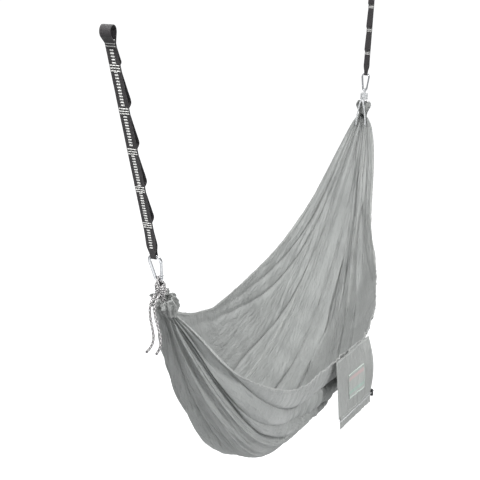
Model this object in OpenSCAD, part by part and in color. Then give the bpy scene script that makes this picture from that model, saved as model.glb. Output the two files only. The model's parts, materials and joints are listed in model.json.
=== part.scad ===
// Gathered-end camping hammock, hung open between two daisy-chain tree straps.
// Origin: centre of the sewn anchor eye at the top of the head strap, which the sling hangs from.
// +X runs from the head end to the foot end, +Y to the back rim, +Z up. Millimetres.

/* [Hang] */
// Distance between the two carabiner bearing points
span = 2180; // [2100:10:2260]
// Lean of the head strap away from the vertical, degrees
head_lean = 16.8; // [12:0.1:20]
// Lean of the foot strap away from the vertical, degrees
foot_lean = 7.1; // [5:0.1:12]
// Distance from a bearing point down to where the fabric is pinched
pinch_drop = 108; // [104:1:112]

/* [Sling] */
// How far the rims hang below the pinches at midspan
rim_drop = 556; // [500:1:600]
// How far the belly hangs below the pinches at midspan
keel_drop = 912; // [850:1:950]
// Half width of the open mouth on the front side
front_half = 272; // [250:1:290]
// Half width of the open mouth on the back side
back_half = 286; // [260:1:310]
// Half width of the pinched fabric bundle
bundle_half = 15; // [13:1:18]
// Thickness given to the sling's fabric, folds included
cloth_t = 2.4; // [2:0.1:3]
// Radius of the rolled rim hems
hem_r = 4; // [3:0.5:5]

/* [Cord] */
// Radius of the braided gather cord
cord_r = 3.25; // [3:0.05:3.3]
// Outer radius of the knot's wraps
knot_r = 15; // [13:0.5:16]
// Length of the knot along the cord
knot_len = 36; // [34:1:38]
// Length of the loose cord tails
tail_len = 150; // [120:1:160]

/* [Carabiner] */
// Radius of the frame's round bar
bar_r = 4; // [3.8:0.05:4]
// Centreline radius of the narrow bow
small_bow = 8.5; // [8.5:0.1:9]
// Centreline radius of the wide bow
large_bow = 15; // [15:0.5:17]
// Distance between the centres of the two bows
bow_gap = 51; // [49:1:56]
// Radius of the gate bar
gate_r = 3.6; // [3.4:0.1:3.6]
// Radius of the gate's rivet
rivet_r = 1.5; // [1.4:0.05:1.5]

/* [Straps] */
// Width of the webbing
web_w = 25; // [24:1:25]
// Thickness of one webbing layer
web_t = 1.6; // [1.4:0.1:1.7]
// Distance between the bar tacks that close the loops
loop_pitch = 100; // [96:1:104]
// Number of sewn loops on each strap
loop_count = 5; // [3:1:5]
// How far an upper loop bulges from the main webbing
loop_bulge = 16; // [12:1:20]
// Radius of the anchor eye's bore
eye_bore = 12.5; // [12:0.1:13]

/* [Pouch] */
// Width of the storage pouch
pouch_w = 240; // [220:1:250]
// Height of the storage pouch
pouch_h = 268; // [250:1:290]
// Thickness of the empty pouch
pouch_t = 8; // [8:0.5:10]
// Turn of the pouch about the vertical, degrees
pouch_turn = -14.4; // [-18:0.1:-10]
// Outward lean of the hanging pouch, degrees
pouch_lean = 5.1; // [4:0.1:8]

/* [Hidden] */
$fn = 48;

fabric_grey = [0.62, 0.64, 0.63];
hem_grey = [0.70, 0.72, 0.71];
cord_black = [0.22, 0.22, 0.24];
cord_grey = [0.66, 0.67, 0.67];
steel = [0.86, 0.87, 0.89];
web_black = [0.11, 0.10, 0.11];
thread_white = [0.90, 0.90, 0.88];
plastic_black = [0.08, 0.08, 0.09];

// A strap's heights, up from its swing axis through the carabiner's wide bow
swing_up = bow_gap + large_bow - 1;
turn_r = bar_r + 1.6 + web_t / 2;
layer_x = web_t / 2 + 0.1;
first_tack = loop_pitch - turn_r;
eye_tack = first_tack + (loop_count - 1) * loop_pitch + 55;
eye_z = eye_tack + 25;

// The bearing points of the two cord loops in their carabiners
head_end = (swing_up + eye_z) * [sin(head_lean), 0, -cos(head_lean)];
foot_end = head_end + [span, 0, 0];
head_pinch = head_end + pinch_drop * [sin(head_lean), 0, -cos(head_lean)];
foot_pinch = foot_end + pinch_drop * [-sin(foot_lean), 0, -cos(foot_lean)];

// Where the panels stop short of the pinches, and where the seams run across the sling
panel_end = 0.985;
seam_at = 0.56;
seam_gap = 0.008;
// Powers of the hanging curves: a higher one hangs fuller towards the ends
far_power = 4;
front_near_power = 3;
head_keel_power = 2.7;
foot_keel_power = 2.6;
width_power = 2.4;
belly_power = 2.3;

function lerp(a, b, t) = a + (b - a) * t;
function unit(v) = v / norm(v);

// A point of the sling: s runs from -1 at the head pinch to 1 at the foot pinch,
// v from -1 at the front rim to 1 at the back rim.
// The front rim is drawn in beside the pouch, which hangs on its head half, and again near the foot.
function draw_in(s, side) =
    let (a = abs(s), wave = sin(180 * a),
         near_foot = 0.10 * wave * wave + 0.20 * exp(-pow((a - 0.78) / 0.20, 2)))
    side < 0
        ? (s < 0 ? 0.385 * wave * (1 - a) * a * a / (a * a + 0.003) : near_foot)
        : (s < 0 ? 0.12 * wave * wave : 0);
function half_width(s, side) =
    let (a = abs(s),
         open = (side < 0 ? front_half : back_half) * (1 - pow(a, width_power)),
         bulge = s >= 0 && side < 0 ? 110 * pow(a, 12) : 60 * pow(a, 4),
         shoulder = s < 0 && side >= 0 ? 0 : bulge * sqrt(max(0, 1 - a * a)))
    bundle_half + (open + shoulder) * (1 - draw_in(s, side));
// The back rim is pulled nearly straight from midspan to the head end, and lifted a little at midspan
function taut(a) = let (k = 0.05) (sqrt(a * a + k * k) - k) / (sqrt(1 + k * k) - k);
function back_lift(s) = 0.045 * exp(-pow((s + 0.04) / 0.16, 2));
function rim_rise(s, side) =
    (s >= 0 ? pow(s, far_power) : (side < 0 ? pow(-s, front_near_power) : taut(-s)))
    + (side < 0 ? 0 : back_lift(s));
function rim_depth(s, side) = rim_drop * (1 - rim_rise(s, side));
function keel_depth(s) =
    22 + keel_drop * (1 - pow(abs(s), s < 0 ? head_keel_power : foot_keel_power));
function sling_point(s, v) =
    let (w = half_width(s, v), r = rim_depth(s, v), k = keel_depth(s))
    lerp(head_pinch, foot_pinch, (s + 1) / 2)
    + [0, w * v, -r - (k - r) * (1 - pow(abs(v), belly_power))];
function sling_normal(s, v) =
    let (e = 0.002,
         along = sling_point(min(s + e, 1), v) - sling_point(max(s - e, -1), v),
         across = sling_point(s, v + e) - sling_point(s, v - e))
    unit(cross(across, along));

// A closed sheet of the sling between two values of s and of v, rise mm off the surface
module sheet(s0, s1, v0, v1, nu, nv, rise, t) {
    points = [for (k = [0, 1]) for (i = [0:nu]) for (j = [0:nv])
        let (s = lerp(s0, s1, i / nu), v = lerp(v0, v1, j / nv))
        sling_point(s, v) + (rise + k * t) * sling_normal(s, v)];
    function id(k, i, j) = (k * (nu + 1) + i) * (nv + 1) + j;
    skins = [for (i = [0:nu - 1]) for (j = [0:nv - 1]) each [
        [id(1, i, j), id(1, i + 1, j), id(1, i + 1, j + 1)],
        [id(1, i, j), id(1, i + 1, j + 1), id(1, i, j + 1)],
        [id(0, i, j), id(0, i + 1, j + 1), id(0, i + 1, j)],
        [id(0, i, j), id(0, i, j + 1), id(0, i + 1, j + 1)]]];
    long_edges = [for (i = [0:nu - 1]) each [
        [id(1, i + 1, 0), id(1, i, 0), id(0, i, 0)],
        [id(1, i + 1, 0), id(0, i, 0), id(0, i + 1, 0)],
        [id(1, i, nv), id(1, i + 1, nv), id(0, i + 1, nv)],
        [id(1, i, nv), id(0, i + 1, nv), id(0, i, nv)]]];
    end_edges = [for (j = [0:nv - 1]) each [
        [id(1, 0, j), id(1, 0, j + 1), id(0, 0, j + 1)],
        [id(1, 0, j), id(0, 0, j + 1), id(0, 0, j)],
        [id(1, nu, j + 1), id(1, nu, j), id(0, nu, j)],
        [id(1, nu, j + 1), id(0, nu, j), id(0, nu, j + 1)]]];
    polyhedron(points, concat(skins, long_edges, end_edges), convexity = 6);
}

// A round tube of radius r with n sides along a list of points
module tube(path, r, n, ref = [0, 1, 0]) {
    last = len(path) - 1;
    points = [for (i = [0:last])
        let (t = unit(path[min(i + 1, last)] - path[max(i - 1, 0)]),
             e1 = unit(cross(ref, t)),
             e2 = cross(t, e1))
        for (j = [0:n - 1]) path[i] + r * (cos(360 * j / n) * e1 + sin(360 * j / n) * e2)];
    sides = [for (i = [0:last - 1]) for (j = [0:n - 1])
        let (a = i * n + j, b = i * n + (j + 1) % n)
        each [[a, a + n, b + n], [a, b + n, b]]];
    caps = [[for (j = [0:n - 1]) j], [for (j = [0:n - 1]) last * n + n - 1 - j]];
    polyhedron(points, concat(sides, caps), convexity = 6);
}

module centre_panel() {
    color(fabric_grey)
        sheet(-panel_end, panel_end, seam_gap - seam_at, seam_at - seam_gap, 44, 12, 0, cloth_t);
}

module side_panel(side) {
    inner = side * (seam_at + seam_gap);
    outer = side * 0.995;
    color(fabric_grey)
        sheet(-panel_end, panel_end, min(inner, outer), max(inner, outer), 44, 6, 0, cloth_t);
}
module front_side_panel() { side_panel(-1); }
module back_side_panel() { side_panel(1); }

// The folded seam that joins a side panel to the centre panel, on the outside of the sling
module panel_seam(side) {
    v = side * seam_at;
    color(hem_grey)
        sheet(-panel_end, panel_end, v - 2.5 * seam_gap, v + 2.5 * seam_gap, 44, 1,
              cloth_t + 0.2, 1);
}
module front_panel_seam() { panel_seam(-1); }
module back_panel_seam() { panel_seam(1); }

module rim_hem(side) {
    hem_end = 0.975;
    lift = [0, side * 1.5, hem_r + 1.5];
    color(hem_grey)
        tube([for (i = [0:60]) sling_point(lerp(-hem_end, hem_end, i / 60), side) + lift],
             hem_r, 8);
}
module front_rim_hem() { rim_hem(-1); }
module back_rim_hem() { rim_hem(1); }

// Each end is built with its bearing point at the origin and its strap straight up.
// The foot end is the head end's mirror image.
module at_head() {
    translate(head_end) rotate([0, -head_lean, 0]) children();
}
module at_foot() {
    translate(foot_end) rotate([0, foot_lean, 0]) mirror([1, 0, 0]) children();
}

// The sewn end channel, bunched on its cord into a ruffled collar above the pinch
channel_top = -56;
channel_bottom = -pinch_drop;
channel_bore = 9;
function ruffle_r(h, angle) =
    let (flare = lerp(16.5, 29, pow(sin(90 * min(1, 1.5 * h)), 2)) - 5 * pow(h, 6))
    flare * (1 + 0.17 * h * cos(9 * angle + 70 * h) + 0.05 * h * cos(4 * angle));
module end_channel() {
    levels = 8;
    n = 72;
    points = [for (k = [0, 1]) for (i = [0:levels]) for (j = [0:n - 1])
        let (h = i / levels, a = 360 * j / n, r = k == 1 ? ruffle_r(h, a) : channel_bore)
        [r * cos(a), r * sin(a), lerp(channel_bottom, channel_top, h)]];
    function id(k, i, j) = (k * (levels + 1) + i) * n + j % n;
    walls = [for (i = [0:levels - 1]) for (j = [0:n - 1]) each [
        [id(1, i, j), id(1, i + 1, j), id(1, i + 1, j + 1)],
        [id(1, i, j), id(1, i + 1, j + 1), id(1, i, j + 1)],
        [id(0, i, j), id(0, i + 1, j + 1), id(0, i + 1, j)],
        [id(0, i, j), id(0, i, j + 1), id(0, i + 1, j + 1)]]];
    rings = [for (j = [0:n - 1]) each [
        [id(1, 0, j), id(1, 0, j + 1), id(0, 0, j + 1)],
        [id(1, 0, j), id(0, 0, j + 1), id(0, 0, j)],
        [id(1, levels, j + 1), id(1, levels, j), id(0, levels, j)],
        [id(1, levels, j + 1), id(0, levels, j), id(0, levels, j + 1)]]];
    color(fabric_grey) polyhedron(points, concat(walls, rings), convexity = 8);
}
module head_end_channel() { at_head() end_channel(); }
module foot_end_channel() { at_foot() end_channel(); }

// The cord loop bears on the carabiner's narrow bow, passes through the knot and
// runs down inside the collar as two legs joined by a turn at the pinch.
loop_r = bar_r + cord_r + 0.7;
knot_top = -small_bow - bar_r - 4;
knot_bottom = knot_top - knot_len;
leg_x = 4.2;
module half_ring(r, tube_r) {
    rotate([90, 0, 0]) rotate_extrude(angle = 180) translate([r, 0]) circle(tube_r);
}
module gather_cord(tint) {
    turn_z = channel_bottom + 8;
    color(tint) {
        translate([0, 0, -small_bow]) half_ring(loop_r, cord_r);
        for (side = [-1, 1]) {
            translate([side * loop_r, 0, knot_top - 3])
                cylinder(r = cord_r, h = -small_bow - knot_top + 3);
            translate([side * leg_x, 0, turn_z])
                cylinder(r = cord_r, h = knot_bottom + 3 - turn_z);
        }
        translate([0, 0, turn_z]) rotate([180, 0, 0]) half_ring(leg_x, cord_r);
    }
}
module head_gather_cord() { at_head() gather_cord(cord_black); }
module foot_gather_cord() { at_foot() gather_cord(cord_grey); }

module cord_knot(tint) {
    wraps = 5;
    wrap_pitch = (knot_len - 2 * cord_r) / (wraps - 1);
    color(tint) {
        translate([0, 0, knot_bottom + cord_r])
            cylinder(r = knot_r - cord_r, h = knot_len - 2 * cord_r);
        for (i = [0:wraps - 1])
            translate([0, 0, knot_bottom + cord_r + i * wrap_pitch])
                rotate_extrude() translate([knot_r - 1.5 * cord_r, 0]) circle(cord_r);
    }
}
module head_cord_knot() { at_head() cord_knot(cord_black); }
module foot_cord_knot() { at_foot() cord_knot(cord_grey); }

// Two loose tails leave the head knot's outer side and hang clear of the collar
module head_cord_tails() {
    start = head_end + [-6, 0, knot_bottom + 6];
    clear = 18;
    color(cord_black)
        for (k = [0, 1])
            tube([for (i = [0:26]) let (t = i / 26)
                start + [-clear * sin(90 * min(1, 7 * t)),
                         (k == 0 ? 9 : -12 * t - 1) + 6 * sin(330 * t) + (22 - 5 * k) * pow(t, 5),
                         -tail_len * t]],
                 cord_r, 8);
}
// At the foot end they hang inside the mouth of the sling
module foot_cord_tails() {
    start = foot_end + [-26, 0, knot_bottom + 10];
    clear = 24;
    hang = 0.74;
    color(cord_grey)
        for (side = [-1, 1])
            tube([for (i = [0:24]) let (t = i / 24)
                start + [-clear * sin(90 * min(1, 8 * t)),
                         side * (5 + 16 * sin(80 * t)),
                         -hang * tail_len * t]],
                 cord_r, 8);
}

// Carabiner: bows centred on [0, 0] and [0, bow_gap] of the YZ plane, the gate on the -Y side
taper = asin((large_bow - small_bow) / bow_gap);
side_len = sqrt(bow_gap * bow_gap - pow(large_bow - small_bow, 2));
hinge_up = 6;
gate_len = side_len - hinge_up - 0.8;
tongue_t = 3;
module bow(r, from, to) {
    rotate([90, 0, 90]) rotate([0, 0, from])
        rotate_extrude(angle = to - from) translate([r, 0]) circle(bar_r);
}
// A frame whose +Z runs up the side of the ring, at the end of the narrow bow
module up_side(side) {
    translate([0, side * small_bow * cos(taper), -small_bow * sin(taper)])
        rotate([-side * taper, 0, 0]) children();
}
module carabiner_frame() {
    lap = 0.6;
    color(steel) {
        bow(small_bow, -180 + taper, -taper);
        up_side(1) translate([0, 0, -lap]) cylinder(r = bar_r + 0.03, h = side_len + 2 * lap);
        translate([0, 0, bow_gap]) bow(large_bow, -taper, 180 + taper);
        difference() {
            up_side(-1) union() {
                translate([-tongue_t / 2, -gate_r, -2])
                    cube([tongue_t, 2 * gate_r, hinge_up + 2]);
                translate([-tongue_t / 2, 0, hinge_up]) rotate([0, 90, 0])
                    cylinder(r = gate_r, h = tongue_t);
            }
            up_side(-1) translate([-tongue_t, 0, hinge_up]) rotate([0, 90, 0])
                cylinder(r = rivet_r + 0.05, h = 2 * tongue_t);
        }
    }
}
module head_carabiner_frame() { at_head() carabiner_frame(); }
module foot_carabiner_frame() { at_foot() carabiner_frame(); }

// The gate's forked foot straddles the frame's tongue, and its bore holds the spring
spring_bore = 2.4;
spring_from = 5.5;
spring_len = 12;
module carabiner_gate() {
    color(steel) up_side(-1) translate([0, 0, hinge_up]) difference() {
        union() {
            cylinder(r = gate_r, h = gate_len);
            translate([-gate_r, 0, 0]) rotate([0, 90, 0]) cylinder(r = gate_r, h = 2 * gate_r);
        }
        translate([-tongue_t / 2 - 0.15, -2 * gate_r, -2 * gate_r])
            cube([tongue_t + 0.3, 4 * gate_r, 2 * gate_r + 4.5]);
        translate([0, 0, 4]) cylinder(r = spring_bore, h = spring_from + spring_len - 3);
        translate([-2 * gate_r, 0, 0]) rotate([0, 90, 0]) cylinder(r = rivet_r, h = 4 * gate_r);
    }
}
module head_carabiner_gate() { at_head() carabiner_gate(); }
module foot_carabiner_gate() { at_foot() carabiner_gate(); }

module gate_rivet() {
    head_r = rivet_r + 0.9;
    shank = 2 * gate_r + 0.4;
    color(steel) up_side(-1) translate([0, 0, hinge_up]) rotate([0, 90, 0]) {
        translate([0, 0, -shank / 2]) cylinder(r = rivet_r, h = shank);
        for (side = [-1, 1])
            translate([0, 0, side * (shank / 2 + 0.4) - 0.4]) cylinder(r = head_r, h = 0.8);
    }
}
module head_gate_rivet() { at_head() gate_rivet(); }
module foot_gate_rivet() { at_foot() gate_rivet(); }

module coil(r, wire_r, len, turns) {
    steps = 9 * turns;
    tube([for (i = [0:steps])
        [r * cos(360 * turns * i / steps), r * sin(360 * turns * i / steps), len * i / steps]],
         wire_r, 5, [0, 0, 1]);
}
module gate_spring() {
    color(steel) up_side(-1) translate([0, 0, hinge_up + spring_from])
        coil(spring_bore - 0.7, 0.4, spring_len - 1, 6);
}
module head_gate_spring() { at_head() gate_spring(); }
module foot_gate_spring() { at_foot() gate_spring(); }

// Straps: the origin is the swing axis through the carabiner's wide bow, +Z up the webbing,
// the bar-tacked loops on the +X side.
function tack_z(i) = i < loop_count ? first_tack + i * loop_pitch : eye_tack;
// A flat band of webbing of thickness web_t along a list of [x, z] points
module band(path) {
    last = len(path) - 1;
    function side_of(i) =
        let (t = unit(path[min(i + 1, last)] - path[max(i - 1, 0)])) web_t / 2 * [-t[1], t[0]];
    rotate([90, 0, 0]) linear_extrude(web_w, center = true)
        polygon(concat([for (i = [0:last]) path[i] + side_of(i)],
                       [for (i = [0:last]) path[last - i] - side_of(last - i)]));
}
module at_strap() {
    translate([0, 0, swing_up]) children();
}
// The webbing draws in where it passes through the ring
module ring_taper() {
    narrow = 14;
    rotate([90, 0, 90]) linear_extrude(80, center = true)
        polygon([[-narrow / 2, -20], [narrow / 2, -20], [narrow / 2, 7], [web_w / 2 + 1, 34],
                 [web_w / 2 + 1, eye_z + 40], [-web_w / 2 - 1, eye_z + 40],
                 [-web_w / 2 - 1, 34], [-narrow / 2, 7]]);
}
module strap_webbing() {
    eye_r = eye_bore + web_t;
    mid_r = eye_bore + web_t / 2;
    eye_leg = [mid_r * cos(30), eye_z - mid_r * sin(30)];
    color(web_black) intersection() {
        ring_taper();
        difference() {
            union() {
                band(concat([[layer_x, first_tack + 8], [layer_x, first_tack - 8]],
                            [for (a = [0:15:180]) turn_r * [cos(a), -sin(a)]],
                            [[-layer_x, first_tack - 8], [-layer_x, eye_tack],
                             [-eye_leg[0], eye_leg[1]]]));
                band([[layer_x, eye_tack - 8], [layer_x, eye_tack], eye_leg]);
                translate([0, web_w / 2, eye_z]) rotate([90, 0, 0])
                    cylinder(r = eye_r, h = web_w, $fn = 96);
            }
            translate([0, web_w, eye_z]) rotate([90, 0, 0])
                cylinder(r = eye_bore, h = 2 * web_w, $fn = 96);
        }
    }
}
module head_strap_webbing() { at_head() at_strap() strap_webbing(); }
module foot_strap_webbing() { at_foot() at_strap() strap_webbing(); }

// The second layer rises steeply above each bar tack and falls back to the next one
function bulge(t) = (1 - t) * (1 - exp(-t / 0.06));
module strap_loops() {
    steps = 16;
    rows = loop_count - 1;
    color(web_black) band(concat(
        [[layer_x, first_tack + 9]],
        [for (i = [0:rows]) for (k = [0:steps - 1])
            let (lo = tack_z(i) + 9, hi = tack_z(i + 1) - 9, t = k / steps,
                 size = (hi - lo) / (loop_pitch - 18))
            if (i > 0 || k > 0) [layer_x + size * loop_bulge * bulge(t), lerp(lo, hi, t)]],
        [[layer_x, eye_tack - 9]]));
}
module head_strap_loops() { at_head() at_strap() strap_loops(); }
module foot_strap_loops() { at_foot() at_strap() strap_loops(); }

module strap_bar_tacks() {
    bar_w = web_w - 3;
    bar_h = 2.2;
    bar_step = 5;
    proud = 0.5;
    through = 2 * (layer_x + web_t / 2 + proud);
    color(thread_white)
        for (i = [0:loop_count]) for (k = [-1:1])
            translate([0, 0, tack_z(i) + k * bar_step]) cube([through, bar_w, bar_h], center = true);
}
module head_strap_bar_tacks() { at_head() at_strap() strap_bar_tacks(); }
module foot_strap_bar_tacks() { at_foot() at_strap() strap_bar_tacks(); }

// The pouch hangs from the front rim. Its frame has X along its top edge, -Y outwards, +Z up.
pouch_top = (head_end + foot_end) / 2 + [-118, -270, -650];
mouth_z = 34 - pouch_h;
hem_top = mouth_z + 10;
wall = 1.5;
draw_r = 1.4;
strand_y = [-pouch_t + 2, -2];
module at_pouch() {
    translate(pouch_top) rotate([0, 0, pouch_turn]) rotate([-pouch_lean, 0, 0]) children();
}
module pouch_back() {
    color(fabric_grey) at_pouch()
        translate([-pouch_w / 2, -wall, hem_top + 0.3]) cube([pouch_w, wall, -hem_top - 0.3]);
}
module pouch_front() {
    depth = pouch_t - wall - 0.3;
    color(fabric_grey) at_pouch() difference() {
        translate([-pouch_w / 2, -pouch_t, hem_top + 0.3]) cube([pouch_w, depth, -hem_top - 0.3]);
        translate([wall - pouch_w / 2, wall - pouch_t, hem_top - 1])
            cube([pouch_w - 2 * wall, depth, -hem_top - wall]);
    }
}
// The mouth's hem: a front and a back wall, each with a channel for one strand of the cord
module pouch_mouth_hem() {
    hem_w = pouch_w - 14;
    strip = pouch_t / 2 - 0.2;
    color(fabric_grey) at_pouch()
        for (k = [0, 1]) difference() {
            translate([14 - pouch_w / 2, k == 0 ? -pouch_t : -strip, -pouch_h])
                cube([hem_w, strip, pouch_h + hem_top]);
            translate([-pouch_w, strand_y[k], mouth_z]) rotate([0, 90, 0])
                cylinder(r = draw_r + 0.2, h = 2 * pouch_w);
        }
}
// A folded tape sewn to the rim's hem and to the pouch's top edge
module pouch_hang_tab() {
    tab_w = 60;
    color(hem_grey) at_pouch()
        translate([-tab_w / 2, -wall, 0.3]) cube([tab_w, wall, 9]);
}
module pouch_label() {
    label_w = 104;
    label_h = 92;
    label_x = 10;
    color(thread_white) at_pouch()
        translate([label_x, -pouch_t - 0.3, -0.49 * pouch_h]) rotate([90, 0, 0])
            linear_extrude(0.8) difference() {
                square([label_w, label_h], center = true);
                square([label_w - 8, label_h - 8], center = true);
            }
}

lock_r = 6;
lock_x = pouch_w / 2 + 1 + lock_r;
lock_low = -13;
lock_high = 7;
plunger_r = 3.9;
button_top = 11;
slot_half_y = abs(strand_y[0] - strand_y[1]) / 2 + draw_r + 0.3;
slide_travel = 8;
cord_out = lock_x + lock_r + slide_travel + 3;
lock_y = (strand_y[0] + strand_y[1]) / 2;
module pouch_drawcord() {
    turn_x = 8 - pouch_w / 2;
    turn_r = (strand_y[1] - strand_y[0]) / 2;
    color(cord_grey) at_pouch() translate([0, 0, mouth_z]) {
        for (y = strand_y)
            translate([turn_x, y, 0]) rotate([0, 90, 0]) cylinder(r = draw_r, h = cord_out - turn_x);
        translate([turn_x, lock_y, 0]) rotate([0, 0, 90])
            rotate_extrude(angle = 180) translate([turn_r, 0]) circle(draw_r);
    }
}
module at_lock() {
    at_pouch() translate([lock_x, lock_y, mouth_z]) children();
}
module cord_slot(low, high) {
    translate([-2 * lock_r, -slot_half_y, low]) cube([4 * lock_r, 2 * slot_half_y, high - low]);
}
module cord_lock_barrel() {
    color(plastic_black) at_lock() difference() {
        translate([0, 0, lock_low]) cylinder(r = lock_r, h = lock_high - lock_low);
        translate([0, 0, lock_low + 1.2]) cylinder(r = plunger_r + 0.15, h = 40);
        cord_slot(-draw_r - 0.3, draw_r + 0.3);
    }
}
module cord_lock_button() {
    press = 3;
    color(plastic_black) at_lock() difference() {
        union() {
            translate([0, 0, -5]) cylinder(r = plunger_r, h = button_top + 5);
            translate([0, 0, button_top - 0.9]) cylinder(r = lock_r - 0.5, h = 1.1);
        }
        cord_slot(-draw_r - 0.3, draw_r + 0.4 + press);
    }
}
module cord_lock_spring() {
    spring_low = lock_low + 1.7;
    color(steel) at_lock() translate([0, 0, spring_low]) coil(2.6, 0.35, -5.4 - spring_low, 4);
}

centre_panel();
front_side_panel();
back_side_panel();
front_panel_seam();
back_panel_seam();
front_rim_hem();
back_rim_hem();
head_end_channel();
foot_end_channel();
head_gather_cord();
foot_gather_cord();
head_cord_knot();
foot_cord_knot();
head_cord_tails();
foot_cord_tails();
head_carabiner_frame();
head_carabiner_gate();
head_gate_rivet();
head_gate_spring();
foot_carabiner_frame();
foot_carabiner_gate();
foot_gate_rivet();
foot_gate_spring();
head_strap_webbing();
head_strap_loops();
head_strap_bar_tacks();
foot_strap_webbing();
foot_strap_loops();
foot_strap_bar_tacks();
pouch_hang_tab();
pouch_back();
pouch_front();
pouch_mouth_hem();
pouch_label();
pouch_drawcord();
cord_lock_barrel();
cord_lock_button();
cord_lock_spring();
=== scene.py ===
"""Looks of a gathered-end camping hammock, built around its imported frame. Metres, +Z up."""

import json
from math import cos, pi, radians, sin, sqrt, tau

import bpy
import numpy as np
from mathutils import Matrix, Vector


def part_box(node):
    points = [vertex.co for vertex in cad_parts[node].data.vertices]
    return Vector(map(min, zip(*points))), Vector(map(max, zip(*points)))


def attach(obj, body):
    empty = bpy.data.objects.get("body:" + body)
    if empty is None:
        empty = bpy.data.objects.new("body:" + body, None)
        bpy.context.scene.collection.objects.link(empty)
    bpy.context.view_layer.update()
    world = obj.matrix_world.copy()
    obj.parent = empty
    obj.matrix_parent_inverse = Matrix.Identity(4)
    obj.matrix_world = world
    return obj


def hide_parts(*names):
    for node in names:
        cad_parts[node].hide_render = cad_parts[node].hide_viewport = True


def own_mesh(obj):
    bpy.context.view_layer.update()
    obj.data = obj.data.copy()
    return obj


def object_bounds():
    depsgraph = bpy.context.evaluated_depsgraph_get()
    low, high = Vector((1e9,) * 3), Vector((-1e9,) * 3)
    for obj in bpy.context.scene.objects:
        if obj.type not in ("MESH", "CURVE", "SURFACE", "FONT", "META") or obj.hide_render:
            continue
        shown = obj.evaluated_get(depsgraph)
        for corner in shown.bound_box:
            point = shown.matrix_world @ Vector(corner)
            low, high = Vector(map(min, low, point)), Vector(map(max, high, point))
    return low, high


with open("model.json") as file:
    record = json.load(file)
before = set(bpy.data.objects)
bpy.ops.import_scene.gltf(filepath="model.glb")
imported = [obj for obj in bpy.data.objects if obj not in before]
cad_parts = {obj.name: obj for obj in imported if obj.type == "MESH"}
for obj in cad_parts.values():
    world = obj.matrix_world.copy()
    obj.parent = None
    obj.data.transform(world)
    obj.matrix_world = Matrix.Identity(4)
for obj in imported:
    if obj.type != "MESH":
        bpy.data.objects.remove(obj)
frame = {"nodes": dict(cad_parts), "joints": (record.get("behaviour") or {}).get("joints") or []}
cad_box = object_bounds()

MM = 0.001
Y_AXIS = np.array([0.0, 1.0, 0.0])


# ------------------------ numbers and directions


def unit(v):
    v = np.asarray(v, float)
    return v / np.maximum(np.linalg.norm(v, axis=-1, keepdims=True), 1e-12)


def lerp(a, b, t):
    return a + (b - a) * t


def smooth(low, high, x):
    """0 below low, 1 above high and an S-curve between."""
    t = np.clip((np.asarray(x, float) - low) / (high - low), 0, 1)
    return t * t * (3 - 2 * t)


def noise(x, y, seed=0):
    """Smooth value noise from -1 to 1 with a lattice spacing of 1."""
    xi, yi = np.floor(x), np.floor(y)

    def corner(i, j):
        h = np.sin((xi + i) * 127.1 + (yi + j) * 311.7 + seed * 74.7) * 43758.5453
        return 2 * (h - np.floor(h)) - 1

    fx, fy = x - xi, y - yi
    fx, fy = fx * fx * (3 - 2 * fx), fy * fy * (3 - 2 * fy)
    low = lerp(corner(0, 0), corner(1, 0), fx)
    high = lerp(corner(0, 1), corner(1, 1), fx)
    return lerp(low, high, fy)


def ridges(x, y, seed=0):
    """Creased noise: sharp lines near 1, soft hollows near -1."""
    return 1 - 2 * np.abs(noise(x, y, seed))


def lengths_along(path):
    """Distance from the start of a path to each of its points."""
    return np.concatenate([[0], np.cumsum(np.linalg.norm(np.diff(path, axis=0), axis=1))])


def points_at(here, along, path):
    """Points at the given distances along a path."""
    return np.stack([np.interp(here, along, path[:, k]) for k in range(3)], -1)


def turned(radius, angle, z):
    """Points round the Z axis."""
    return np.stack(np.broadcast_arrays(radius * np.cos(angle), radius * np.sin(angle), z), -1)


def rows_by_columns(rows, columns):
    """Two grids: the row values repeated across, and the column values repeated down."""
    return np.broadcast_arrays(rows[:, None], columns[None, :])


# ------------------------ the two ends

JOINTS = {j["name"]: j for j in frame["joints"]}

# From the cord's bearing point down to where the cloth is pinched together
PINCH_DROP = 108 * MM


def joint_at(name):
    return np.array(JOINTS[name]["pos_m"], float)


class End:
    """One end of the hammock: +Z runs up its chain from the cord's bearing point, +X to the sling."""

    def __init__(self, name, facing):
        swing = joint_at(name + "_strap_swing")
        self.name = name
        self.facing = facing
        self.origin = joint_at(name + "_sway")
        self.up = unit(swing - self.origin)
        self.swing_up = float(np.linalg.norm(swing - self.origin))
        self.side = facing * np.array([self.up[2], 0.0, -self.up[0]])
        self.pinch = self.origin - PINCH_DROP * self.up

    def place(self, points):
        p = np.asarray(points, float)
        return self.origin + p[..., :1] * self.side + p[..., 1:2] * Y_AXIS + p[..., 2:] * self.up

    def turn(self, directions):
        return self.place(directions) - self.origin


HEAD = End("head", 1)
FOOT = End("foot", -1)
ENDS = (HEAD, FOOT)
MIDDLE = (HEAD.origin + FOOT.origin) / 2


# ------------------------ mesh pieces


def add_object(name, data):
    obj = bpy.data.objects.new(name, data)
    bpy.context.scene.collection.objects.link(obj)
    return obj


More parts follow.
